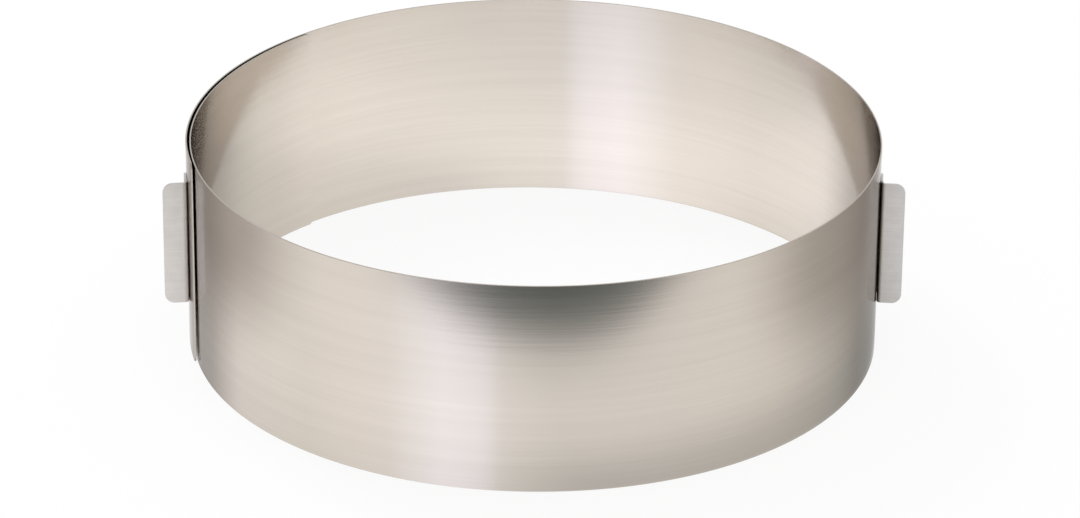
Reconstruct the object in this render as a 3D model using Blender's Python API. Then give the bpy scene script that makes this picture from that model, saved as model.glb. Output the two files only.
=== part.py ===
"""Adjustable cake ring: one stainless strip coiled over itself, with two sheet grips on its outside.

Squeezing the grips together slides the strip's ends over each other and makes the ring smaller, and
pulling them apart makes it larger. The strip bends along its whole length while it does so. Here it is
cut into short lengths, joined end to end by upright hinges in the middle of the sheet, so that turning
every hinge a little coils the strip as bending does. The length that carries the right grip is held,
and each other length is parented to its neighbour on that side, with its origin on the hinge between.

All sizes are in metres and radians. Up is +Z, the ring stands on z = 0, and the side seen first is -Y.
"""

import math

import bmesh
import bpy
from mathutils import Matrix, Vector

# The ring as it stands, measured at the middle of the sheet halfway along the strip
RING_RADIUS = 0.134
STRIP_HEIGHT = 0.085
STRIP_THICKNESS = 0.0006
# Free space between the two layers where the strip passes over itself
LAYER_GAP = 0.001
# Rounding of the strip's four free corners
STRIP_CORNER = 0.002
# Where the outer end stops, counted anticlockwise from +X and seen from above
OUTER_END_ANGLE = math.radians(195)

# How the strip is cut into lengths
LENGTH_COUNT = 35
LENGTH_ANGLE = math.radians(12)
HINGE_GAP = 0.0003
# The length that carries the right grip, which the others move against
HELD_LENGTH = 17

# Grips: an angle of sheet, with one leg spot-welded to the strip and the other standing out
GRIP_HEIGHT = 0.051
GRIP_BOTTOM = 0.021
GRIP_THICKNESS = 0.0008
GRIP_REACH = 0.0092
GRIP_SEAT = 0.0125
GRIP_BEND = 0.0009
GRIP_CORNER = 0.004
# From the end of the length that carries a grip to the grip's upright leg
GRIP_INSET = 0.0117
# Space left between a grip and the strip that it is welded to
SEAT_GAP = 0.0003

# Dimples that the welding electrode leaves in a grip
WELD_COUNT = 3
WELD_DIAMETER = 0.0042
WELD_DEPTH = 0.00025
WELD_SLOPE = 0.0006
# How far cutters run past the face that they cut
CUT_OVERRUN = 0.001

# Points nearer than this along a sheet count as one
CLOSEST = 0.00002

# Facets along curves
FACETS_PER_LENGTH = 10
FACETS_PER_CORNER = 5
FACETS_PER_BEND = 6
FACETS_PER_SEAT = 5
FACETS_PER_WELD = 20

LAYER_PITCH = STRIP_THICKNESS + LAYER_GAP
STRIP_ANGLE = LENGTH_COUNT * LENGTH_ANGLE
MIDDLE_ANGLE = OUTER_END_ANGLE - STRIP_ANGLE / 2

STRIP_COLOUR = (0.62, 0.59, 0.55, 1)
GRIP_COLOUR = (0.66, 0.64, 0.62, 1)
STRIP_ROUGHNESS = 0.25
GRIP_ROUGHNESS = 0.35


def steel(name, colour, roughness):
    """A plain steel finish for one piece."""
    material = bpy.data.materials.new(name)
    material.use_nodes = True
    shader = material.node_tree.nodes["Principled BSDF"]
    shader.inputs["Base Color"].default_value = colour
    shader.inputs["Metallic"].default_value = 1
    shader.inputs["Roughness"].default_value = roughness
    return material


def spiral_radius(angle):
    """The strip's radius at an angle: each turn lies one layer pitch inside the turn before it."""
    return RING_RADIUS + LAYER_PITCH * (angle - MIDDLE_ANGLE) / math.tau


def spiral_point(angle):
    """The middle of the sheet at an angle, in plan."""
    radius = spiral_radius(angle)
    return Vector((radius * math.cos(angle), radius * math.sin(angle)))


def hinge_angle(number):
    """The angle of the cut between length number and the next one. Cut 0 is the outer end."""
    return OUTER_END_ANGLE - number * LENGTH_ANGLE


def hinge_point(number):
    """A hinge's place on the floor, at the middle of the sheet."""
    return spiral_point(hinge_angle(number)).to_3d()


def corner_inset(distance, corner):
    """How far a rounded corner pulls an edge in, at a distance from the end of the sheet."""
    if distance >= corner:
        return 0
    return corner - math.sqrt(corner**2 - (corner - distance) ** 2)


def corner_distances(corner):
    """Distances from the end of a sheet at which to place points, so that its corners look round."""
    turns = (math.pi / 2 * step / FACETS_PER_CORNER for step in range(FACETS_PER_CORNER + 1))
    return [corner * (1 - math.cos(turn)) for turn in turns]


def even_steps(first, last, count):
    """count + 1 values from first to last."""
    return [first + (last - first) * step / count for step in range(count + 1)]


def distinct(distances):
    """The distances in order, without any that lies within CLOSEST of the one before it."""
    kept = []
    for distance in sorted(distances):
        if not kept or distance - kept[-1] > CLOSEST:
            kept.append(distance)
    return kept


def sheet(name, columns, thickness, origin, material):
    """A sheet-metal piece that stands upright along a plan curve.

    columns lists (plan point, lower edge, upper edge) from one end to the other. The sheet is drawn
    without thickness, and Solidify then grows it alike to both sides.
    """
    build = bmesh.new()
    edges = []
    for point, low, high in columns:
        foot = Vector((point.x, point.y, low)) - origin
        top = Vector((point.x, point.y, high)) - origin
        edges.append((build.verts.new(foot), build.verts.new(top)))
    for (foot, top), (next_foot, next_top) in zip(edges, edges[1:]):
        build.faces.new((foot, next_foot, next_top, top))
    mesh = bpy.data.meshes.new(name)
    build.to_mesh(mesh)
    build.free()
    mesh.materials.append(material)
    mesh.shade_smooth()
    mesh.set_sharp_from_angle(angle=math.radians(30))
    piece = bpy.data.objects.new(name, mesh)
    bpy.context.collection.objects.link(piece)
    piece.location = origin
    solid = piece.modifiers.new("sheet_thickness", "SOLIDIFY")
    solid.thickness = thickness
    solid.offset = 0
    solid.use_even_offset = True
    return piece


def strip_length(number):
    """One length of the strip, between cut number - 1 and cut number."""
    first, last = hinge_angle(number - 1), hinge_angle(number)
    half_gap = HINGE_GAP / 2 / RING_RADIUS
    outer_end = number == 1
    inner_end = number == LENGTH_COUNT
    start = first if outer_end else first - half_gap
    stop = last if inner_end else last + half_gap
    full = (start - stop) * RING_RADIUS
    distances = even_steps(0, full, FACETS_PER_LENGTH)
    corners = corner_distances(STRIP_CORNER)
    if outer_end:
        distances += corners
    if inner_end:
        distances += [full - distance for distance in corners]
    columns = []
    for distance in distinct(distances):
        inset = 0
        if outer_end:
            inset = corner_inset(distance, STRIP_CORNER)
        if inner_end:
            inset = corner_inset(full - distance, STRIP_CORNER)
        columns.append((spiral_point(start - distance / RING_RADIUS), inset, STRIP_HEIGHT - inset))
    origin = hinge_point(number if number < HELD_LENGTH else number - 1)
    name = f"strip_{number:02d}"
    return sheet(name, columns, STRIP_THICKNESS, origin, steel(name, STRIP_COLOUR, STRIP_ROUGHNESS))


def grip_columns(seat_radius):
    """A grip's sheet, as (plan point, inset of its upper and lower edge) from one end to the other.

    It is drawn for an upright leg on the +X axis, comes in along that leg, turns through the bend and
    follows the strip anticlockwise.
    """
    bend = GRIP_BEND + GRIP_THICKNESS / 2
    tangent = math.asin(bend / (seat_radius + bend))
    centre = Vector(((seat_radius + bend) * math.cos(tangent), bend))
    tip = seat_radius + GRIP_REACH
    leg = tip - centre.x
    bent = leg + bend * (math.pi / 2 - tangent)
    full = bent + GRIP_SEAT - bend
    corners = corner_distances(GRIP_CORNER)
    distances = even_steps(leg, bent, FACETS_PER_BEND) + even_steps(bent, full, FACETS_PER_SEAT)
    distances += corners + [full - distance for distance in corners]
    columns = []
    for distance in distinct(distances):
        if distance < leg:
            point = Vector((tip - distance, 0))
        elif distance < bent:
            along = math.pi * 3 / 2 - (distance - leg) / bend
            point = centre + bend * Vector((math.cos(along), math.sin(along)))
        else:
            along = tangent + (distance - bent) / seat_radius
            point = seat_radius * Vector((math.cos(along), math.sin(along)))
        columns.append((point, corner_inset(min(distance, full - distance), GRIP_CORNER)))
    return columns


def weld_cutter(name, piece, place, outward):
    """A shallow cone that leaves one weld dimple in a grip's seat."""
    build = bmesh.new()
    slope = WELD_SLOPE / WELD_DEPTH
    bmesh.ops.create_cone(
        build,
        cap_ends=True,
        segments=FACETS_PER_WELD,
        radius1=WELD_DIAMETER / 2 - WELD_SLOPE,
        radius2=WELD_DIAMETER / 2 + slope * CUT_OVERRUN,
        depth=WELD_DEPTH + CUT_OVERRUN,
    )
    mesh = bpy.data.meshes.new(name)
    build.to_mesh(mesh)
    build.free()
    cutter = bpy.data.objects.new(name, mesh)
    bpy.context.collection.objects.link(cutter)
    middle = place + outward * ((CUT_OVERRUN - WELD_DEPTH) / 2)
    turn = Vector((0, 0, 1)).rotation_difference(outward).to_matrix().to_4x4()
    cutter.parent = piece
    cutter.matrix_local = Matrix.Translation(middle - piece.location) @ turn
    cutter.hide_render = True
    cutter.display_type = "WIRE"
    cut = piece.modifiers.new(name, "BOOLEAN")
    cut.operation = "DIFFERENCE"
    cut.object = cutter


def grip(name, carrier, leg_angle, side):
    """One grip. side is +1 where its seat runs anticlockwise from the upright leg, and -1 for the flipped one."""
    seat_middle = leg_angle + side * GRIP_SEAT / 2 / RING_RADIUS
    face_radius = spiral_radius(seat_middle) + STRIP_THICKNESS / 2 + SEAT_GAP
    seat_radius = face_radius + GRIP_THICKNESS / 2
    turn = Matrix.Rotation(leg_angle, 2)
    columns = []
    for point, inset in grip_columns(seat_radius):
        place = turn @ Vector((point.x, side * point.y))
        columns.append((place, GRIP_BOTTOM + inset, GRIP_BOTTOM + GRIP_HEIGHT - inset))
    finish = steel(name, GRIP_COLOUR, GRIP_ROUGHNESS)
    piece = sheet(name, columns, GRIP_THICKNESS, carrier.location.copy(), finish)
    outward = Vector((math.cos(seat_middle), math.sin(seat_middle), 0))
    for number in range(WELD_COUNT):
        height = GRIP_BOTTOM + GRIP_HEIGHT * (number + 1) / (WELD_COUNT + 1)
        place = outward * (face_radius + GRIP_THICKNESS) + Vector((0, 0, height))
        weld_cutter(f"{name}_weld_{number + 1}", piece, place, outward)
    return piece


def carry(piece, carrier):
    """Make carrier the piece's parent, with the piece where it is."""
    piece.parent = carrier
    piece.matrix_parent_inverse = Matrix.Translation(-carrier.location)


def centre_on_origin(held, pieces):
    """Move the held length, and so the whole ring, until its bounding box is centred over the origin."""
    bpy.context.view_layer.update()
    graph = bpy.context.evaluated_depsgraph_get()
    corners = []
    for piece in pieces:
        solid = piece.evaluated_get(graph)
        corners += [solid.matrix_world @ Vector(corner) for corner in solid.bound_box]
    for axis in (0, 1):
        values = [corner[axis] for corner in corners]
        held.location[axis] -= (min(values) + max(values)) / 2
    bpy.context.view_layer.update()


for old in list(bpy.data.objects):
    bpy.data.objects.remove(old, do_unlink=True)

strip = {number: strip_length(number) for number in range(1, LENGTH_COUNT + 1)}
inset_angle = GRIP_INSET / RING_RADIUS
left_grip = grip("left_grip", strip[1], OUTER_END_ANGLE - inset_angle, -1)
right_grip = grip("right_grip", strip[HELD_LENGTH], hinge_angle(HELD_LENGTH) + inset_angle, 1)

places = {piece: piece.location.copy() for piece in [*strip.values(), left_grip, right_grip]}
for number in range(1, HELD_LENGTH):
    carry(strip[number], strip[number + 1])
for number in range(HELD_LENGTH + 1, LENGTH_COUNT + 1):
    carry(strip[number], strip[number - 1])
carry(left_grip, strip[1])
carry(right_grip, strip[HELD_LENGTH])
centre_on_origin(strip[HELD_LENGTH], places)
print("strip length", round(sum(RING_RADIUS * LENGTH_ANGLE for _ in strip), 4), "m")
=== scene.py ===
# %% [markdown]
# # An adjustable cake ring in brushed stainless steel
#
# The real object is one long strip of thin springy steel, coiled so that its two ends pass over each
# other, with a small angled grip welded near the outer end and another one half a turn further on.
# Squeezing the grips together makes the coil smaller.
#
# A ring like this has almost no shape of its own to look at. What the eye reads is the reflection that
# slides round the curve, so most of this lesson is about a clean mesh, a brushed finish, and something
# worth reflecting. We start from the packed model, which fixes every size and place.

import math

import bpy
from mathutils import Matrix, Vector


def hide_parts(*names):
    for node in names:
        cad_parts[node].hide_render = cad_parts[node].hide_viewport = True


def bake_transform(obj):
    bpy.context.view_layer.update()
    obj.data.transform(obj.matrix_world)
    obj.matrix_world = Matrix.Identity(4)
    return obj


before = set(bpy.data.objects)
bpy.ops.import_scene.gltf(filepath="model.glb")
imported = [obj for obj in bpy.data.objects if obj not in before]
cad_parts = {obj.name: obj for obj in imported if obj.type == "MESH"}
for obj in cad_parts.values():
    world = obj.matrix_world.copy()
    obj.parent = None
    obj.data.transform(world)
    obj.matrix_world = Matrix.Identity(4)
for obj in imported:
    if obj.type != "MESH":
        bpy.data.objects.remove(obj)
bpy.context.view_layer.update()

# %% [markdown]
# ## The coil as a formula
#
# The strip follows a spiral that tightens very slowly: one full turn brings it in by one sheet thickness
# and a little air. We could trace that with a curve object and a screw modifier, but a formula gives the
# exact place and the exact direction at any angle, and the direction is what a polished surface needs.
# Angles run anticlockwise from +X, and the strip is walked from its outer end towards its inner end.

# %% Sizes of the coil, in metres
RING_RADIUS = 0.134
STRIP_HEIGHT = 0.085
STRIP_THICKNESS = 0.0006
LAYER_PITCH = 0.0016
STRIP_CORNER = 0.002
OUTER_END = math.radians(195)
LENGTH_ANGLE = math.radians(12)
LENGTH_COUNT = 35
HELD_LENGTH = 17
# The spiral's middle stands a little off the origin, because the ring's box is centred there
RING_CENTRE = Vector((-0.000486, -0.0004, 0))

HALF_TURNING = LENGTH_COUNT * LENGTH_ANGLE / 2
MIDDLE_ANGLE = OUTER_END - HALF_TURNING
INNER_END = OUTER_END - 2 * HALF_TURNING
print("degrees from end to end", round(math.degrees(2 * HALF_TURNING)))


# %% Walk along the coil
def coil_radius(angle):
    """Distance from the ring's centre to the middle of the sheet."""
    return RING_RADIUS + LAYER_PITCH * (angle - MIDDLE_ANGLE) / math.tau


def along(angle):
    """Distance from the outer end, measured along the sheet."""
    return (OUTER_END - angle) * RING_RADIUS


def outward(angle):
    """The direction that points straight away from the ring's axis."""
    return Vector((math.cos(angle), math.sin(angle), 0))


def onward(angle):
    """The direction that runs anticlockwise round the ring."""
    return Vector((-math.sin(angle), math.cos(angle), 0))


print("strip length in mm", round(1000 * along(INNER_END)))

# %% [markdown]
# ## Ends that lie close
#
# The packed model keeps its layers 1 mm apart so that they never scrape. On the real ring the steel springs
# back on itself, and each end lies close to the layer beside it. So both ends lean towards that layer here,
# over their last few centimetres. The lean starts and stops softly, so it leaves no kink in a reflection.
# It also tilts the surface a little, and the direction that the surface faces is worked out with it.

# %% Lean the ends towards the layer beside them
END_TUCK = 0.00036
TUCK_REACH = 0.030
# How far to either side of a place its slope is measured, in radians
SLOPE_STEP = 0.0001


def clamped(value):
    """The value, held between 0 and 1."""
    return min(max(value, 0), 1)


def eased(value):
    """A soft step from 0 to 1 as the value goes from 0 to 1."""
    share = clamped(value)
    return share * share * (3 - 2 * share)


def tuck(angle):
    """How far an end leans towards the layer beside it, positive outwards."""
    from_inner = (angle - INNER_END) * RING_RADIUS
    return END_TUCK * (eased(1 - from_inner / TUCK_REACH) - eased(1 - along(angle) / TUCK_REACH))


def facing_of(angle):
    """The direction that the outside of the strip faces, with the lean of its ends."""
    rise = tuck(angle + SLOPE_STEP) - tuck(angle - SLOPE_STEP)
    slope = rise / (2 * SLOPE_STEP * RING_RADIUS)
    return (outward(angle) - slope * onward(angle)).normalized()


print("lean at the ends in mm", [round(1000 * tuck(angle), 2) for angle in (OUTER_END, INNER_END)])


# %% Compare the formula with the packed strip
def coil_point(angle, offset=0, height=0):
    """A place on the strip, offset outwards from the middle of the sheet."""
    place = RING_CENTRE + (coil_radius(angle) + tuck(angle) + offset) * outward(angle)
    return place + Vector((0, 0, height))


def middle_of(number):
    """The angle halfway along one of the strip's short lengths."""
    return OUTER_END - (number - 0.5) * LENGTH_ANGLE


furthest = 0
for number in range(1, LENGTH_COUNT + 1):
    expected = coil_radius(middle_of(number))
    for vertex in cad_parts[f"strip_{number:02d}"].data.vertices:
        from_centre = (vertex.co - RING_CENTRE).to_2d().length
        furthest = max(furthest, abs(from_centre - expected))
print("packed strip lies within", round(1000 * furthest, 2), "mm of the formula")

# %% [markdown]
# ## The edge of the sheet
#
# Stainless strip is slit from a wide coil and its edges are then dressed, so that they don't cut. A dressed
# edge is a tiny round, and it is what catches the light as a thin line all the way round the rim. We draw
# the sheet's cross-section once, as a thin upright shape with rounded corners, and note for each of its
# points which way the surface faces there.

# %% The cross-section of the sheet
EDGE_ROUND = 0.00018
TURNS_PER_ROUND = 2


def section(low, high, half=STRIP_THICKNESS / 2):
    """The sheet's outline at one place, as (offset, height, facing) with facing as (outwards, upwards)."""
    inner = half - EDGE_ROUND
    corners = (
        (inner, high - EDGE_ROUND, 0),
        (-inner, high - EDGE_ROUND, 90),
        (-inner, low + EDGE_ROUND, 180),
        (inner, low + EDGE_ROUND, 270),
    )
    outline = []
    for across, height, first in corners:
        for turn in range(TURNS_PER_ROUND + 1):
            facing = math.radians(first + 90 * turn / TURNS_PER_ROUND)
            face = (math.cos(facing), math.sin(facing))
            outline.append((across + EDGE_ROUND * face[0], height + EDGE_ROUND * face[1], face))
    return outline


POINTS_AROUND = len(section(0, STRIP_HEIGHT))
print("points round the sheet", POINTS_AROUND)

# %% [markdown]
# ## A mesh that shades as a true curve
#
# A polished ring shows every flat facet. Many facets help, and a Subdivision Surface would too, but the
# surest way is to tell Blender the true direction of the surface at each point. These custom normals are
# kept when the strip bends, so neighbouring pieces still meet without a visible line.
#
# Each point also gets a place on the unrolled strip: how far along it lies, and how high. That UV map is
# where the brushing will live, so that the grain runs round the ring and stays with the steel.

# %% Choose where a stretch gets its columns of points
COLUMN_ANGLE = math.radians(0.25)
CORNER_STEPS = 10


def corner_inset(distance, corner):
    """How far a rounded corner pulls an edge in, at a distance from the end of the sheet."""
    if distance >= corner:
        return 0
    return corner - math.sqrt(corner**2 - (corner - distance) ** 2)


def column_angles(first, last):
    """The angles at which a stretch gets its columns, closer together in the strip's rounded corners."""
    count = round((first - last) / COLUMN_ANGLE)
    angles = [first + (last - first) * step / count for step in range(count + 1)]
    reach = STRIP_CORNER / RING_RADIUS
    for step in range(CORNER_STEPS):
        near = reach * (1 - math.cos(math.pi / 2 * step / CORNER_STEPS))
        angles += [angle for angle in (OUTER_END - near, INNER_END + near) if last < angle < first]
    return sorted(set(angles), reverse=True)


print("columns in a stretch", len(column_angles(middle_of(1), middle_of(2))))

# %% Draw one column of points
# The inside of the strip uses another part of the unrolled map, so that its grain differs
INSIDE_SHIFT = 0.2


def strip_column(angle, drop):
    """The points round the sheet at an angle, made smaller by a drop, as (place, facing, map place)."""
    to_end = min(OUTER_END - angle, angle - INNER_END) * RING_RADIUS
    inset = corner_inset(max(to_end, 0), STRIP_CORNER)
    outline = section(inset + drop, STRIP_HEIGHT - inset - drop, STRIP_THICKNESS / 2 - drop)
    points = []
    for offset, height, face in outline:
        facing = face[0] * facing_of(angle) + Vector((0, 0, face[1]))
        shift = INSIDE_SHIFT if offset < 0 else 0
        points.append((coil_point(angle, offset, height), facing, (along(angle), height + shift)))
    return points


print("first point in mm", [round(1000 * part, 1) for part in strip_column(MIDDLE_ANGLE, 0)[0][0]])

# %% Make one stretch of the strip
GRAIN_MAP = "unrolled"
# Each stretch ends in a short tongue that slopes in under the next one, and fills the seam when it opens
TONGUE_REACH = 0.00015
TONGUE_DROP = 0.00004


def new_piece(name, places, faces, grain):
    """A smooth mesh object, with each point's place on the unrolled sheet as its UV map."""
    mesh = bpy.data.meshes.new(name)
    mesh.from_pydata(places, [], faces)
    mesh.shade_smooth()
    layer = mesh.uv_layers.new(name=GRAIN_MAP)
    for loop in mesh.loops:
        layer.uv[loop.index].vector = grain[loop.vertex_index]
    piece = bpy.data.objects.new(name, mesh)
    bpy.context.collection.objects.link(piece)
    return piece


def strip_stretch(name, first, last):
    """The strip from one angle to another, as an object of its own."""
    columns = [strip_column(angle, 0) for angle in column_angles(first, last)]
    if last > INNER_END:
        columns.append(strip_column(last - TONGUE_REACH / RING_RADIUS, TONGUE_DROP))
    points = [point for column in columns for point in column]
    faces = []
    for start in range(0, len(points) - POINTS_AROUND, POINTS_AROUND):
        for point in range(POINTS_AROUND):
            here, after = start + point, start + (point + 1) % POINTS_AROUND
            faces.append((after, after + POINTS_AROUND, here + POINTS_AROUND, here))
    # The strip's own two ends are closed by flat faces, whose points face along the strip
    if last <= INNER_END:
        faces.append(tuple(range(len(points), len(points) + POINTS_AROUND)))
        points += [(place, -onward(INNER_END), mark) for place, _, mark in columns[-1]]
    if first >= OUTER_END:
        faces.append(tuple(reversed(range(len(points), len(points) + POINTS_AROUND))))
        points += [(place, onward(OUTER_END), mark) for place, _, mark in columns[0]]
    places, facings, grain = (list(values) for values in zip(*points))
    piece = new_piece(name, places, faces, grain)
    piece.data.normals_split_custom_set_from_vertices(facings)
    return piece


print("seams filled up to", round(1000 * TONGUE_REACH, 2), "mm")

# %% [markdown]
# ## Which way the brushing runs
#
# Blender's anisotropic reflection needs to know a direction on the surface. Without a Tangent node it
# takes circles round the middle of the mesh's texture space. That space normally fits each mesh, which
# would give every stretch its own middle, so we centre it on the ring's axis for all of them.

# %% Aim the texture space at the ring's axis
TEXTURE_REACH = Vector((0.16, 0.16, 0.05))
TEXTURE_MIDDLE = RING_CENTRE + Vector((0, 0, STRIP_HEIGHT / 2))


def aim_brushing(piece):
    """Make the default tangent run round the ring's axis."""
    piece.data.use_auto_texspace = False
    piece.data.texspace_location = TEXTURE_MIDDLE
    piece.data.texspace_size = TEXTURE_REACH


print("brushing runs round", [round(1000 * part, 1) for part in TEXTURE_MIDDLE], "mm")

# %% [markdown]
# ## The whole strip, in stretches
#
# The real strip bends everywhere at once. The packed model does that with 35 short lengths on hinges, and
# the visible strip should hide them. So each stretch here runs from the middle of one length to the middle
# of the next, with the hinge halfway.
#
# How far a blend between two lengths spreads matters. One that only just spans its stretch swings the strip
# outwards before each hinge, and the ring turns wavy as it gets smaller. Spread wider, over 1.38 lengths to
# each side, a stretch starts and stops at the very slope that its neighbour has, and the ring stays round at
# every setting. That spread is set below, but no blend here uses it.

# %% Bake a piece's place, beside a hinge
BEND_SPREAD = 1.377


def body_of(number):
    """The moving body that a length belongs to."""
    return "held_length" if number == HELD_LENGTH else f"length_{number:02d}"


def bend_with(piece, number):
    """Bake a piece's place into its mesh; the hinge after a length, its spread and its two bodies are worked
    out but not used.
    """
    hinge = OUTER_END - number * LENGTH_ANGLE
    spread = BEND_SPREAD * LENGTH_ANGLE
    start, end = coil_point(hinge + spread), coil_point(hinge - spread)
    body_of(number)
    body_of(number + 1)
    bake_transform(piece)


print("bending spread over degrees", round(math.degrees(2 * BEND_SPREAD * LENGTH_ANGLE), 1))

# %% Build the stretches
strip_pieces = []
for number in range(1, LENGTH_COUNT):
    name = f"strip_bend_{number:02d}"
    stretch = strip_stretch(name, middle_of(number), middle_of(number + 1))
    bend_with(stretch, number)
    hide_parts(f"strip_{number:02d}")
    strip_pieces.append(stretch)

outer_end = strip_stretch("strip_outer_end", OUTER_END, middle_of(1))
bend_with(outer_end, 1)
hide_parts("strip_01")

inner_end = strip_stretch("strip_inner_end", middle_of(LENGTH_COUNT), INNER_END)
bend_with(inner_end, LENGTH_COUNT - 1)
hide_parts(f"strip_{LENGTH_COUNT:02d}")

strip_pieces += [outer_end, inner_end]
for piece in strip_pieces:
    aim_brushing(piece)
print("stretches", len(strip_pieces), "faces", sum(len(piece.data.polygons) for piece in strip_pieces))

# %% [markdown]
# ## The grips
#
# Each grip is a small angle pressed from slightly thicker sheet. One leg is spot-welded to the strip and
# the other stands out as a handle. Extruding a bent line would give the shape, but the welds leave dimples,
# and those need a fine grid on the welded leg. So the sheet is drawn as a grid along its bent path,
# thickened with Solidify, and its edges are softened with a Bevel.
#
# The groove where the bend meets the strip lies in deep shade, and that shade is painted into its colour, so
# it looks nearly black. The right grip gets the most of this painted shade and the left one only a little.
# The mesh stores where the painted shade lies, and the finish reads it.

# %% Sizes of a grip, in metres
GRIP_HEIGHT = 0.051
GRIP_BOTTOM = 0.021
GRIP_THICKNESS = 0.0008
# How far the free leg stands out, how long the welded leg is, and how tight the bend between them
GRIP_REACH = 0.0092
GRIP_SEAT = 0.0125
GRIP_BEND = 0.0009
GRIP_CORNER = 0.004
# From the end of the length that carries a grip to its free leg
GRIP_INSET = 0.0117
# Air left between a grip and the strip
SEAT_GAP = 0.00008
# How fine the grid of the drawn sheet is
GRID_STEP = 0.0005


def grip_walk(seat_radius):
    """Walk the sheet from the tip of the free leg, as (place, facing, inset of its edges, past the bend)."""
    bend = GRIP_BEND + GRIP_THICKNESS / 2
    tangent = math.asin(bend / (seat_radius + bend))
    centre = Vector(((seat_radius + bend) * math.cos(tangent), bend))
    tip = seat_radius + GRIP_REACH
    leg = tip - centre.x
    bent = leg + bend * (math.pi / 2 - tangent)
    full = bent + GRIP_SEAT - bend
    count = round(full / GRID_STEP)
    distances = [full * step / count for step in range(count + 1)]
    for step in range(1, CORNER_STEPS):
        near = GRIP_CORNER * (1 - math.cos(math.pi / 2 * step / CORNER_STEPS))
        turned = leg + (bent - leg) * step / CORNER_STEPS
        distances += [near, full - near, turned]
    walk = []
    for distance in sorted(distances):
        if distance < leg:
            place, face = Vector((tip - distance, 0)), Vector((0, 1))
        elif distance < bent:
            turn = math.pi * 3 / 2 - (distance - leg) / bend
            face = -Vector((math.cos(turn), math.sin(turn)))
            place = centre - bend * face
        else:
            turn = tangent + (distance - bent) / seat_radius
            face = Vector((math.cos(turn), math.sin(turn)))
            place = seat_radius * face
        inset = corner_inset(min(distance, full - distance), GRIP_CORNER)
        walk.append((place, face, inset, distance - bent))
    return walk


print("columns in a grip", len(grip_walk(RING_RADIUS)))

# %% Welds and residue
# The dimples of the spot welds, and how far round them the heat coloured the steel
WELD_COUNT = 3
WELD_RADIUS = 0.0021
WELD_DEPTH = 0.00022
WELD_SLOPE = 0.0007
WELD_TINT_REACH = 0.0016
# How much painted shade a grip's groove gets, and how far out round the bend it reaches
LEFT_CREVICE_SHADE = 0.25
LEFT_SHADE_REACH = 0.0014
RIGHT_CREVICE_SHADE = 1.0
RIGHT_SHADE_REACH = 0.0018
# How softly the painted shade starts on the bend, and how far it runs on over the seat
CREVICE_EDGE = 0.0006
CREVICE_AFTER = 0.0012


def weld_share(across, height):
    """How deep a place on the seat lies in a weld's dimple, and how much it is tinted, each from 0 to 1."""
    nearest = min(
        math.hypot(across, height - GRIP_HEIGHT * (weld + 1) / (WELD_COUNT + 1))
        for weld in range(WELD_COUNT)
    )
    depth = eased((WELD_RADIUS - nearest) / WELD_SLOPE)
    tint = clamped((WELD_RADIUS + WELD_TINT_REACH - nearest) / WELD_TINT_REACH)
    return depth, tint


def crevice_share(on_seat, shade_reach):
    """How much of the groove's painted shade a place has, from 0 to 1, by its distance past the bend."""
    rise = clamped((on_seat + shade_reach) / CREVICE_EDGE)
    fall = clamped(on_seat / CREVICE_AFTER)
    return rise * (1 - fall)


print("welds stand", round(1000 * GRIP_HEIGHT / (WELD_COUNT + 1), 2), "mm apart")

# %% Make a grip
ROWS = round(GRIP_HEIGHT / GRID_STEP)
TINT = "weld_tint"
# The mesh's mask of the painted shade in the groove at the bend
CREVICE = "crevice"
GRIP_EDGE = 0.00014
GRIP_EDGE_SEGMENTS = 2
# Edges that turn more sharply than this are softened
GRIP_EDGE_ANGLE = math.radians(50)


def thicken(piece):
    """Grow a drawn sheet to both sides, and soften its edges."""
    thick = piece.modifiers.new("sheet_thickness", "SOLIDIFY")
    thick.thickness = GRIP_THICKNESS
    thick.offset = 0
    thick.use_even_offset = True
    soft = piece.modifiers.new("dressed_edges", "BEVEL")
    soft.width = GRIP_EDGE
    soft.segments = GRIP_EDGE_SEGMENTS
    soft.limit_method = "ANGLE"
    soft.angle_limit = GRIP_EDGE_ANGLE
    soft.harden_normals = True


def grip(name, leg_angle, side, crevice_shade, shade_reach):
    """A grip whose seat runs anticlockwise from the free leg where side is +1, and clockwise at -1."""
    seat_middle = leg_angle + side * GRIP_SEAT / 2 / RING_RADIUS
    seat_radius = coil_radius(seat_middle) + STRIP_THICKNESS / 2 + SEAT_GAP + GRIP_THICKNESS / 2
    seat_centre = GRIP_SEAT / 2 - GRIP_BEND
    turn = Matrix.Rotation(leg_angle, 2)
    walk = grip_walk(seat_radius)
    places, tints, crevice_shades, grain = [], [], [], []
    for place, face, inset, on_seat in walk:
        for row in range(ROWS + 1):
            height = inset + (GRIP_HEIGHT - 2 * inset) * row / ROWS
            depth, tint = weld_share(on_seat - seat_centre, height)
            moved = place - face * WELD_DEPTH * depth
            moved *= 1 + tuck(leg_angle + side * math.atan2(moved.y, moved.x)) / moved.length
            plan = turn @ Vector((moved.x, side * moved.y))
            places.append(RING_CENTRE + Vector((plan.x, plan.y, GRIP_BOTTOM + height)))
            tints.append(tint)
            # The groove's painted shade, kept on the mesh for the finish
            crevice_shades.append(crevice_shade * crevice_share(on_seat, shade_reach))
            grain.append((on_seat, height))
    tall = ROWS + 1
    faces = []
    for column in range(len(walk) - 1):
        for row in range(ROWS):
            corner = column * tall + row
            faces.append((corner, corner + tall, corner + tall + 1, corner + 1))
    piece = new_piece(name, places, faces, grain)
    for layer_name, values in ((TINT, tints), (CREVICE, crevice_shades)):
        piece.data.attributes.new(layer_name, "FLOAT", "POINT").data.foreach_set("value", values)
    thicken(piece)
    return piece


inset_angle = GRIP_INSET / RING_RADIUS
right_end = OUTER_END - HELD_LENGTH * LENGTH_ANGLE
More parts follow.
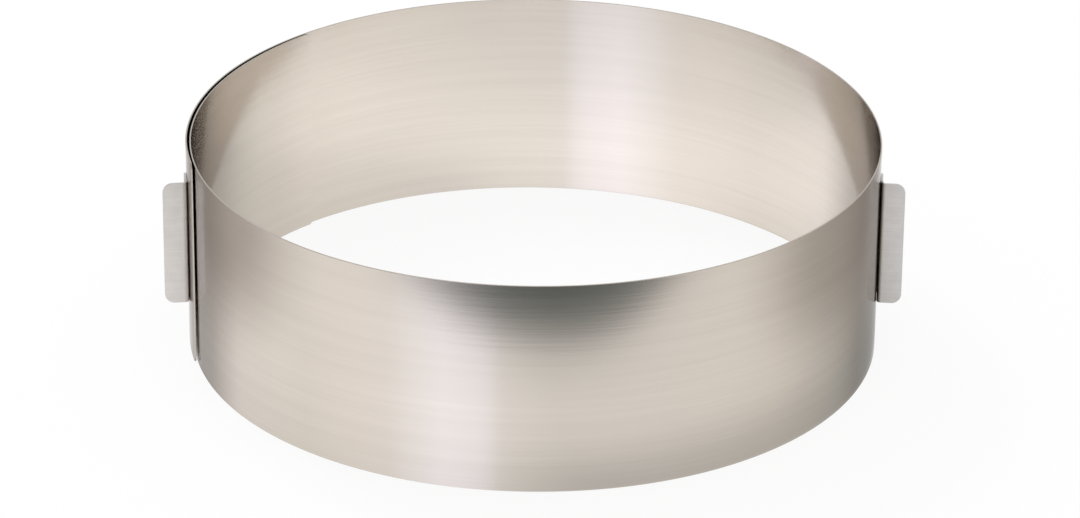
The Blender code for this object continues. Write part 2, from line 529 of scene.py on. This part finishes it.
# Each grip's groove gets its own amount of painted shade
left_grip = grip("left_grip_pressed", OUTER_END - inset_angle, -1, LEFT_CREVICE_SHADE, LEFT_SHADE_REACH)
right_grip = grip("right_grip_pressed", right_end + inset_angle, 1, RIGHT_CREVICE_SHADE, RIGHT_SHADE_REACH)
# Each grip goes with the hinge that its seat lies next to
for piece, hinge_number, node in (
    (left_grip, 1, "left_grip"),
    (right_grip, HELD_LENGTH - 1, "right_grip"),
):
    bend_with(piece, hinge_number)
    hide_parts(node)
    print(piece.name, "faces", len(piece.data.polygons))

# %% [markdown]
# ## Writing shaders as sums
#
# Shader maths in the editor is a nest of Math nodes. Here one small class wraps a node's output, and
# Python's own operators add the Math nodes, so that a finish reads as a formula. Every other node comes
# from one method, which sets the node's options first and then its sockets. The short methods after it
# call it for the nodes that the finishes use most.

# %% A socket that understands arithmetic
class Signal:
    """A value, colour or vector that comes out of a shader node."""

    def __init__(self, finish, socket):
        self.finish = finish
        self.socket = socket

    def _math(self, operation, first, second):
        return self.finish.add("ShaderNodeMath", {"operation": operation}, {0: first, 1: second})

    def __add__(self, other):
        return self._math("ADD", self, other)

    def __radd__(self, other):
        return self._math("ADD", other, self)

    def __sub__(self, other):
        return self._math("SUBTRACT", self, other)

    def __rsub__(self, other):
        return self._math("SUBTRACT", other, self)

    def __mul__(self, other):
        return self._math("MULTIPLY", self, other)

    def __rmul__(self, other):
        return self._math("MULTIPLY", other, self)

    def __truediv__(self, other):
        return self._math("DIVIDE", self, other)

    def __rtruediv__(self, other):
        return self._math("DIVIDE", other, self)

    def __pow__(self, other):
        return self._math("POWER", self, other)

    def __rpow__(self, other):
        return self._math("POWER", other, self)


print("operators", sum(name.startswith("__r") for name in vars(Signal)), "with their reflected forms")


# %% A finish that adds its own nodes
class Finish:
    """The nodes of one material or of the world."""

    def __init__(self, owner):
        owner.use_nodes = True
        self.owner = owner
        self.tree = owner.node_tree
        self.tree.nodes.clear()

    def add(self, kind, settings=None, sockets=None, output=0):
        """Add a node, set its options, then its sockets by name or number, and return one output."""
        node = self.tree.nodes.new(kind)
        for option, value in (settings or {}).items():
            if option == "stops":
                self.set_stops(node.color_ramp, value)
            else:
                setattr(node, option, value)
        for key, value in (sockets or {}).items():
            self.feed(self.find(node, key), value)
        outputs = [socket for socket in node.outputs if socket.enabled]
        if isinstance(output, str):
            return Signal(self, next(socket for socket in outputs if socket.name == output))
        return Signal(self, outputs[output]) if outputs else None

    def find(self, node, key):
        """The node's input of that number, or the first one in use with that name."""
        if isinstance(key, int):
            return node.inputs[key]
        return next(socket for socket in node.inputs if socket.enabled and socket.name == key)

    def feed(self, socket, value):
        """Link a signal to a socket, or set its plain value."""
        if isinstance(value, Signal):
            self.tree.links.new(value.socket, socket)
        else:
            socket.default_value = value

    def set_stops(self, ramp, stops):
        """Give a colour ramp exactly these (position, colour) stops."""
        while len(ramp.elements) > 1:
            ramp.elements.remove(ramp.elements[-1])
        for number, (position, colour) in enumerate(stops):
            stop = ramp.elements[0] if number == 0 else ramp.elements.new(position)
            stop.position = position
            stop.color = (*colour, 1)

    def parts(self, vector):
        """The X, Y and Z of a vector, as signals of their own."""
        node = self.add("ShaderNodeSeparateXYZ", {}, {0: vector}).socket.node
        return [Signal(self, socket) for socket in node.outputs]

    def smooth(self, value, low, high):
        """0 below low, 1 above high, and a soft step between them."""
        settings = {"interpolation_type": "SMOOTHSTEP"}
        sockets = {"Value": value, "From Min": low, "From Max": high}
        return self.add("ShaderNodeMapRange", settings, sockets)

    def mixed(self, first, second, share):
        """Share of the second colour over the first."""
        sockets = {"Factor": share, "A": first, "B": second}
        return self.add("ShaderNodeMix", {"data_type": "RGBA"}, sockets)

    def noise(self, place, repeats, detail, seed):
        """Smooth noise from 0 to 1, seeded, that repeats so many times in each direction."""
        stretched = self.add("ShaderNodeVectorMath", {"operation": "MULTIPLY"}, {0: place, 1: repeats})
        sockets = {"Vector": stretched, "W": seed, "Scale": 1.0, "Detail": detail}
        return self.add("ShaderNodeTexNoise", {"noise_dimensions": "4D"}, sockets)

    def ray(self, kind):
        """1 for a ray of one kind, such as Is Camera Ray, and 0 for any other."""
        return self.add("ShaderNodeLightPath", {}, {}, kind)

    def glow(self, colour, strength=1.0):
        """A surface that shines in a colour of its own."""
        return self.add("ShaderNodeEmission", {}, {"Color": colour, "Strength": strength})

    def over(self, share, below, above):
        """Share of one shader laid over another."""
        return self.add("ShaderNodeMixShader", {}, {0: share, 1: below, 2: above})

    def metal(self, sockets):
        """Finish a material as metal with these sockets."""
        shader = self.add("ShaderNodeBsdfPrincipled", {}, {"Metallic": 1.0, **sockets})
        self.add("ShaderNodeOutputMaterial", {}, {"Surface": shader})
        return self.owner


WHITE = (1, 1, 1, 1)
BLACK = (0, 0, 0, 1)
# Noise runs from 0 to 1 and lies evenly about this
NOISE_MIDDLE = 0.5
print("ready-made nodes", [name for name in vars(Finish) if not name.startswith("_")])

# %% [markdown]
# ## Brushed stainless steel
#
# The strip is rolled and then brushed lengthwise, which leaves countless fine lines along it. Up close
# they are scratches, and from an arm's length they do two things: they smear a reflection at right angles
# to themselves, so that it runs up and down the wall, and they leave faint streaks of lighter and darker
# steel. The smear comes from the shader's Anisotropic value. The streaks come from noise on the unrolled
# map, squeezed hard in height and stretched along the strip. A last, very broad noise bends the surface
# by a hair, because thin sheet is never quite even and its reflections waver.

# %% Colours and grain of the strip
STEEL_LIGHT = (0.655, 0.615, 0.564, 1)
STEEL_DARK = (0.615, 0.576, 0.526, 1)
STRIP_ROUGHNESS = 0.15
STRIP_ROUGHNESS_CHANGE = 0.05
STRIP_ANISOTROPY = 0.75
ACROSS_THE_GRAIN = 0.25
# Steel gains less at a glancing angle than a perfect metal does
STRIP_EDGE_TINT = (0.64, 0.63, 0.63, 1)

# How often each noise repeats in a metre of the unrolled map, along the strip and up it
STRIP_LINES = (14.0, 1500.0, 1.0)
STRIP_STREAKS = (5.0, 260.0, 1.0)
STRIP_CLOUDS = (16.0, 26.0, 1.0)
STRIP_WAVER = (9.0, 7.0, 1.0)
# How much each of them counts in the light and dark of the steel
LINES_IN_SHADE = 0.35
STREAKS_IN_SHADE = 0.4
CLOUDS_IN_SHADE = 0.25
STRIP_SHADE_RANGE = (0.32, 0.68)
# How much each counts in the scratches, and how high scratches and waves stand
LINES_IN_SCRATCHES = 0.6
STREAKS_IN_SCRATCHES = 0.4
SCRATCH_STRENGTH = 0.07
SCRATCH_HEIGHT = 0.0002
WAVER_STRENGTH = 0.5
WAVER_HEIGHT = 0.0004
print("finest lines", round(1000 / STRIP_LINES[1], 2), "mm apart")


# %% The strip's steel
def strip_steel():
    """Warm stainless steel, brushed along the strip."""
    steel = Finish(bpy.data.materials.new("strip_steel"))
    place = steel.add("ShaderNodeUVMap", {"uv_map": GRAIN_MAP})
    lines = steel.noise(place, STRIP_LINES, detail=3.0, seed=1.0)
    streaks = steel.noise(place, STRIP_STREAKS, detail=2.0, seed=2.0)
    clouds = steel.noise(place, STRIP_CLOUDS, detail=2.0, seed=3.0)
    waver = steel.noise(place, STRIP_WAVER, detail=1.0, seed=4.0)
    mottle = LINES_IN_SHADE * lines + STREAKS_IN_SHADE * streaks + CLOUDS_IN_SHADE * clouds
    uneven = STRIP_ROUGHNESS_CHANGE * (lines - NOISE_MIDDLE)
    uneven += STRIP_ROUGHNESS_CHANGE * (clouds - NOISE_MIDDLE)
    height = LINES_IN_SCRATCHES * lines + STREAKS_IN_SCRATCHES * streaks
    scratches = {"Strength": SCRATCH_STRENGTH, "Distance": SCRATCH_HEIGHT, "Height": height}
    waves = {"Strength": WAVER_STRENGTH, "Distance": WAVER_HEIGHT, "Height": waver}
    waves["Normal"] = steel.add("ShaderNodeBump", {}, scratches)
    return steel.metal({
        "Base Color": steel.mixed(STEEL_DARK, STEEL_LIGHT, steel.smooth(mottle, *STRIP_SHADE_RANGE)),
        "Roughness": STRIP_ROUGHNESS + uneven,
        "Specular Tint": STRIP_EDGE_TINT,
        "Anisotropic": STRIP_ANISOTROPY,
        "Anisotropic Rotation": ACROSS_THE_GRAIN,
        "Normal": steel.add("ShaderNodeBump", {}, waves),
    })


strip_finish = strip_steel()
for piece in strip_pieces:
    piece.data.materials.append(strip_finish)
print("strip finish nodes", len(strip_finish.node_tree.nodes))

# %% [markdown]
# ## The grips' satin steel
#
# The grips are pressed from plain rolled sheet, which is greyer and duller than the strip. Tumbling takes
# the sharpness off, so it has no clear grain, only a soft mottling. Each spot weld leaves a dimple with a
# faint straw-brown ring where the heat coloured the steel, and that ring follows the mask on the mesh. The
# mask is 1 inside a weld and falls to 0 around it, so the ring is where it is neither.

# %% Colours and mottling of the grips
GRIP_LIGHT = (0.70, 0.685, 0.665, 1)
GRIP_DARK = (0.60, 0.585, 0.565, 1)
HEAT_TINT = (0.50, 0.42, 0.33, 1)
HEAT_TINT_SHARE = 0.55
# The value of the weld mask at which the heat tint is strongest
HEAT_TINT_PEAK = 0.7
# The nearly black colour painted into the groove at the bend as painted shade, and how much of it
CREVICE_SHADE_COLOUR = (0.075, 0.068, 0.062, 1)
CREVICE_SHADE_SHARE = 0.93
GRIP_ROUGHNESS = 0.34

GRIP_LINES = (60.0, 1800.0, 1.0)
GRIP_CLOUDS = (170.0, 170.0, 1.0)
GRIP_LINES_IN_SHADE = 0.4
GRIP_CLOUDS_IN_SHADE = 0.6
GRIP_SHADE_RANGE = (0.3, 0.7)
LINES_IN_ROUGHNESS = 0.06
CLOUDS_IN_ROUGHNESS = 0.08
LINES_IN_RELIEF = 0.5
CLOUDS_IN_RELIEF = 0.5
RELIEF_STRENGTH = 0.15
RELIEF_HEIGHT = 0.0002
print("mottling", round(1000 / GRIP_CLOUDS[0], 1), "mm across")


# %% The grips' steel
def grip_steel():
    """Satin sheet with a soft mottling and heat-tinted welds."""
    steel = Finish(bpy.data.materials.new("grip_steel"))
    place = steel.add("ShaderNodeUVMap", {"uv_map": GRAIN_MAP})
    lines = steel.noise(place, GRIP_LINES, detail=2.0, seed=5.0)
    clouds = steel.noise(place, GRIP_CLOUDS, detail=3.0, seed=6.0)
    mottle = GRIP_LINES_IN_SHADE * lines + GRIP_CLOUDS_IN_SHADE * clouds
    plain = steel.mixed(GRIP_DARK, GRIP_LIGHT, steel.smooth(mottle, *GRIP_SHADE_RANGE))
    tint = steel.add("ShaderNodeAttribute", {"attribute_name": TINT}, {}, "Fac")
    ring = steel.smooth(tint, 0.0, HEAT_TINT_PEAK) * (1 - steel.smooth(tint, HEAT_TINT_PEAK, 1.0))
    heated = steel.mixed(plain, HEAT_TINT, HEAT_TINT_SHARE * ring)
    # The groove at the bend is painted nearly black, as painted shade read from the mesh
    crevice_shade = steel.add("ShaderNodeAttribute", {"attribute_name": CREVICE}, {}, "Fac")
    uneven = CLOUDS_IN_ROUGHNESS * (clouds - NOISE_MIDDLE) + LINES_IN_ROUGHNESS * (lines - NOISE_MIDDLE)
    height = LINES_IN_RELIEF * lines + CLOUDS_IN_RELIEF * clouds
    relief = {"Strength": RELIEF_STRENGTH, "Distance": RELIEF_HEIGHT, "Height": height}
    return steel.metal({
        "Base Color": steel.mixed(heated, CREVICE_SHADE_COLOUR, CREVICE_SHADE_SHARE * crevice_shade),
        "Roughness": GRIP_ROUGHNESS + uneven,
        "Normal": steel.add("ShaderNodeBump", {}, relief),
    })


grip_finish = grip_steel()
for piece in (left_grip, right_grip):
    piece.data.materials.append(grip_finish)
print("grip finish nodes", len(grip_finish.node_tree.nodes))

# %% [markdown]
# ## A room for the steel to reflect
#
# Steel shows its room. In a studio the ring would stand between pale panels, and each upright wall would
# mirror whichever panel lies in its direction. So the world is plain white to the camera and plain pale as
# a light, while glossy rays see a painted room: pale all round, brightest left of the camera and straight
# behind the ring, and darker in the corners between those. Because only the direction counts, every
# reflection stays an upright band on the wall, as it is on brushed steel.

# %% Colours of the room by direction
PLAIN_LIGHT = 0.78
# A colour ramp holds no colour above 1, so the room's colours are divided by this there and lifted again
RAMP_CEILING = 2
# How much darker the room is overhead, and how high a direction has to point for all of that
UPWARD_DIMMING = 0.32
UPWARD_RANGE = (0.0, 0.35)
# (degrees from straight in front, colour), with the camera's right as positive
ROOM = (
    (-180, (1.45, 1.43, 1.42)),
    (-165, (1.20, 1.19, 1.18)),
    (-150, (0.80, 0.79, 0.78)),
    (-135, (0.82, 0.80, 0.79)),
    (-115, (1.22, 1.18, 1.18)),
    (-98, (1.16, 1.12, 1.10)),
    (-80, (1.12, 1.08, 1.05)),
    (-60, (1.18, 1.13, 1.11)),
    (-48, (1.20, 1.16, 1.15)),
    (-41, (1.28, 1.25, 1.28)),
    (-28, (1.42, 1.39, 1.49)),
    (-17, (1.36, 1.33, 1.42)),
    (-12, (1.28, 1.25, 1.32)),
    (-9, (1.16, 1.13, 1.14)),
    (0, (1.15, 1.12, 1.10)),
    (42, (1.15, 1.11, 1.09)),
    (70, (1.14, 1.10, 1.06)),
    (90, (1.10, 1.05, 1.01)),
    (105, (1.02, 0.98, 0.94)),
    (123, (0.93, 0.91, 0.87)),
    (142, (0.75, 0.73, 0.71)),
    (160, (0.98, 0.97, 0.97)),
    (180, (1.45, 1.43, 1.42)),
)
print("room stops", len(ROOM))


# %% Paint the room
def bearing(finish, x, y):
    """A direction seen from above, 0 straight in front and growing towards the camera's right."""
    return finish.add("ShaderNodeMath", {"operation": "ARCTAN2"}, {0: x, 1: 0 - y})


def paint_world():
    """White to the camera, plain light for everything else, and the painted room for reflections."""
    room = Finish(bpy.data.worlds.new("studio"))
    x, y, z = room.parts(room.add("ShaderNodeTexCoord", {}, {}, "Generated"))
    stops = []
    for degrees, colour in ROOM:
        stops.append((degrees / 360 + 0.5, [part / RAMP_CEILING for part in colour]))
    turned = bearing(room, x, y) / math.tau + 0.5
    walls = room.add("ShaderNodeValToRGB", {"stops": stops}, {"Fac": turned})
    level = 1 - UPWARD_DIMMING * room.smooth(z, *UPWARD_RANGE)
    painted = {"Color": room.mixed(BLACK, walls, level), "Strength": RAMP_CEILING}
    mirrored = room.add("ShaderNodeBackground", {}, painted)
    plain = room.add("ShaderNodeBackground", {}, {"Color": WHITE, "Strength": PLAIN_LIGHT})
    white = room.add("ShaderNodeBackground", {}, {"Color": WHITE, "Strength": 1.0})
    lit = room.over(room.ray("Is Glossy Ray"), plain, mirrored)
    shown = room.over(room.ray("Is Camera Ray"), lit, white)
    room.add("ShaderNodeOutputWorld", {}, {"Surface": shown})
    return room.owner


bpy.context.scene.world = paint_world()
print("room nodes", len(bpy.context.scene.world.node_tree.nodes))

# %% [markdown]
# ## What the steel sees of the table
#
# The ring stands on a plain white table. The camera and the soft light see it as it is, with the ring's
# shadow. The steel, looking down at it, sees the painted room instead, so that its bands reach the foot of
# the wall. A few painted shades and lights do stay on the table for it: a painted dark band in front, which
# the steel shows as a dark reflection under the front rim, the shade where the wall meets the table, an oval
# darker stretch on each side, which rounds the front wall off towards the grips, and a faint shade and a
# brighter patch inside the ring. Each of them is a formula of the place on the table.

# %% A painted dark band in front of the ring
# The painted dark band is deepest at this bearing, starts this far out, and starts later to either side of
# that
DARK_BAND_BEARING = math.radians(9)
DARK_BAND_START = (0.236, 0.283)
DARK_BAND_BEND = 0.125
DARK_BAND_RIGHT_BEND = 0.065


def from_middle(x, y):
    """How far a place lies from the middle."""
    return (x * x + y * y) ** 0.5


def painted_dark_band(table, x, y):
    """How far a place lies into the painted dark band in front, from 0 to 1."""
    aside = bearing(table, x, y) - DARK_BAND_BEARING
    rightward = table.add("ShaderNodeMath", {"operation": "MAXIMUM"}, {0: aside, 1: 0.0})
    later = DARK_BAND_BEND * (aside * aside) + DARK_BAND_RIGHT_BEND * (rightward * rightward)
    return table.smooth(from_middle(x, y) - later, *DARK_BAND_START)


# Where the painted dark band starts, in mm from the ring's middle
print("table ends", [round(1000 * reach) for reach in DARK_BAND_START], "mm out")

# %% The shade along the foot of the wall
# The ring's right side is turned from the lamps. Across this stretch, left to right, the shade deepens
SHADED_SIDE = (-0.03, 0.03)
# How softly the foot of the wall divides the outside from the inside
WALL_WIDTH = 0.002
# Shade at the foot of the wall, outside and inside the ring, and how it fades away from the wall
LIT_FOOT = 0.10
SHADED_FOOT = 0.36
INSIDE_FOOT_LEFT = 0.13
INSIDE_FOOT_RIGHT = 0.02
INSIDE_FOOT_SIDE = (-0.05, -0.01)
FOOT_REACH = 0.065
FOOT_FADING = 1.5
# Shade on the rest of the table, outside the ring and in the front half inside it
LIT_TABLE = 0.02
SHADED_TABLE = 0.11
INSIDE_SHADE = 0.10
INSIDE_SHADE_SLANT = 0.35
INSIDE_SHADE_EDGE = (-0.05, 0.05)


def outside_ring(table, x, y):
    """1 outside the ring and 0 inside it."""
    return table.smooth(from_middle(x, y), RING_RADIUS - WALL_WIDTH, RING_RADIUS + WALL_WIDTH)


def table_shade(table, x, y):
    """How much of the room the shade on the table hides from the steel, from 0 to 1."""
    outside = outside_ring(table, x, y)
    shaded = table.smooth(x, *SHADED_SIDE)
    rightward = table.smooth(x, *INSIDE_FOOT_SIDE)
    outer_foot = LIT_FOOT + (SHADED_FOOT - LIT_FOOT) * shaded
    inner_foot = INSIDE_FOOT_LEFT + (INSIDE_FOOT_RIGHT - INSIDE_FOOT_LEFT) * rightward
    foot = outside * outer_foot + (1 - outside) * inner_foot
    from_wall = from_middle(x, y) - RING_RADIUS
    away = table.add("ShaderNodeMath", {"operation": "ABSOLUTE"}, {0: from_wall})
    near = (1 - table.smooth(away, 0.0, FOOT_REACH)) ** FOOT_FADING
    front = 1 - table.smooth(INSIDE_SHADE_SLANT * x + y, *INSIDE_SHADE_EDGE)
    around = outside * (LIT_TABLE + (SHADED_TABLE - LIT_TABLE) * shaded)
    around += (1 - outside) * INSIDE_SHADE * front
    return 1 - (1 - painted_dark_band(table, x, y)) * (1 - foot * near) * (1 - around)


print("shade at the foot", LIT_FOOT, "to", SHADED_FOOT)

# %% Ovals on the table
# The darker stretches left and right of the ring, as (middle, reach, depth)
SIDES = (
    ((-0.265, 0.05), (0.115, 0.19), 0.62),
    ((0.255, 0.04), (0.11, 0.18), 0.56),
)
SIDE_EDGE = (0.35, 1.2)
# The brighter patch inside the ring, on the right
LIFT_MIDDLE = (0.03, 0.09)
LIFT_REACH = (0.075, 0.075)
LIFT_EDGE = (0.3, 1.0)
LIFT_STRENGTH = 0.13


def patch(table, x, y, middle, reach, edge):
    """1 in the middle of an oval on the table, fading to 0 across its edge."""
    across, deep = (x - middle[0]) / reach[0], (y - middle[1]) / reach[1]
    return 1 - table.smooth(from_middle(across, deep), *edge)


print("darker stretches", len(SIDES))

# %% [markdown]
# ## The floor
#
# The table itself is one large square. Its finish sorts the rays. The camera sees white paint, lifted by a
# glow so that it stays as white as the background. Reflections see through it to the room, with the shades
# and patches of the cells before this one laid over that. All other light meets the paint alone.

# %% The floor's finish
FLOOR_COLOUR = (0.95, 0.94, 0.955, 1)
FLOOR_GLOW = 0.88
# Colours painted on the table for reflections alone: the painted shade, the darker sides and the brighter
# patch
SHADE_COLOUR = (0.09, 0.11, 0.11, 1)
SIDE_COLOUR = (0.28, 0.232, 0.195, 1)
LIFT_COLOUR = (1.0, 0.97, 0.96, 1)


def floor_finish():
    """White table for the camera, and the painted room with a little shade for the steel."""
    table = Finish(bpy.data.materials.new("table"))
    x, y, _ = table.parts(table.add("ShaderNodeNewGeometry", {}, {}, "Position"))
    beside = 0.0
    for middle, reach, depth in SIDES:
        beside += depth * patch(table, x, y, middle, reach, SIDE_EDGE)
    inside = 1 - outside_ring(table, x, y)
    lift = LIFT_STRENGTH * inside * patch(table, x, y, LIFT_MIDDLE, LIFT_REACH, LIFT_EDGE)
    clear = table.add("ShaderNodeBsdfTransparent", {}, {"Color": WHITE})
    darker = table.over(beside, clear, table.glow(SIDE_COLOUR))
    shaded = table.over(table_shade(table, x, y), darker, table.glow(SHADE_COLOUR))
    brighter = table.glow(table.mixed(BLACK, LIFT_COLOUR, lift))
    mirrored = table.add("ShaderNodeAddShader", {}, {0: shaded, 1: brighter})
    paint = table.add("ShaderNodeBsdfDiffuse", {}, {"Color": FLOOR_COLOUR})
    white = table.over(FLOOR_GLOW * table.ray("Is Camera Ray"), paint, table.glow(WHITE))
    both = table.over(table.ray("Is Glossy Ray"), white, mirrored)
    table.add("ShaderNodeOutputMaterial", {}, {"Surface": both})
    return table.owner


table_finish = floor_finish()
print("floor finish nodes", len(table_finish.node_tree.nodes))

# %% Lay the floor
FLOOR_REACH = 4.0
corners = [(-1, -1), (1, -1), (1, 1), (-1, 1)]
floor_mesh = bpy.data.meshes.new("table_top")
floor_mesh.from_pydata([(FLOOR_REACH * x, FLOOR_REACH * y, 0) for x, y in corners], [], [(0, 1, 2, 3)])
floor = bpy.data.objects.new("table_top", floor_mesh)
bpy.context.collection.objects.link(floor)
floor.data.materials.append(table_finish)
print("floor", 2 * FLOOR_REACH, "m wide")

# %% [markdown]
# ## Lamps
#
# Most of the light is the world's even glow. One broad lamp behind and to the left gives the soft shadow
# that the ring throws towards the front, and a second one overhead keeps the inside of the ring bright.
# Both are hidden from reflections: a square lamp would show in the steel as a square, and the painted room
# already gives the steel what it should mirror.

# %% Hang two soft lamps
# Each lamp as (name, place, width, power in watts)
LAMPS = (
    ("back_left_lamp", (-1.1, 1.3, 1.9), 0.9, 18),
    ("overhead_lamp", (0.2, -0.1, 2.2), 1.4, 6),
)
RING_MIDDLE = Vector((0, 0, STRIP_HEIGHT / 2))

for name, place, width, power in LAMPS:
    lamp = bpy.data.lights.new(name, "AREA")
    lamp.size = width
    lamp.energy = power
    holder = bpy.data.objects.new(name, lamp)
    bpy.context.collection.objects.link(holder)
    holder.location = place
    holder.rotation_euler = (RING_MIDDLE - Vector(place)).to_track_quat("-Z", "Y").to_euler()
    holder.visible_glossy = False
print("lamps", len(LAMPS))

# %% [markdown]
# ## The camera
#
# The picture is taken from slightly above, from well away, with a long lens: the ring's far side is hardly
# smaller than its near side. The place, tilt and lens below come from fitting the ring's four rim and foot
# curves, which fixes all of them because the ring's height and width are known.

# %% Place the camera
# Place in metres, angles in radians, sensor and lens in millimetres
CAMERA_PLACE = Vector((0.0639, -1.8733, 0.934))
CAMERA_HEADING = 0.0328
CAMERA_TILT = 0.4487
CAMERA_ROLL = 0.0094
SENSOR_WIDTH = 36.0
LENS = 177.07
CLIP_END = 50

camera_data = bpy.data.cameras.new("camera")
camera_data.sensor_width = SENSOR_WIDTH
camera_data.lens = LENS
camera_data.clip_end = CLIP_END
camera = bpy.data.objects.new("camera", camera_data)
bpy.context.collection.objects.link(camera)
heading = Matrix.Rotation(CAMERA_HEADING, 4, "Z")
tilt = Matrix.Rotation(math.pi / 2 - CAMERA_TILT, 4, "X")
roll = Matrix.Rotation(CAMERA_ROLL, 4, "Z")
camera.matrix_world = Matrix.Translation(CAMERA_PLACE + RING_CENTRE) @ heading @ tilt @ roll
bpy.context.scene.camera = camera
bpy.context.scene.view_settings.view_transform = "Standard"
print("lens", LENS, "mm")

# %% [markdown]
# ## The ring's size
#
# The visible ring must be as large as the packed one.
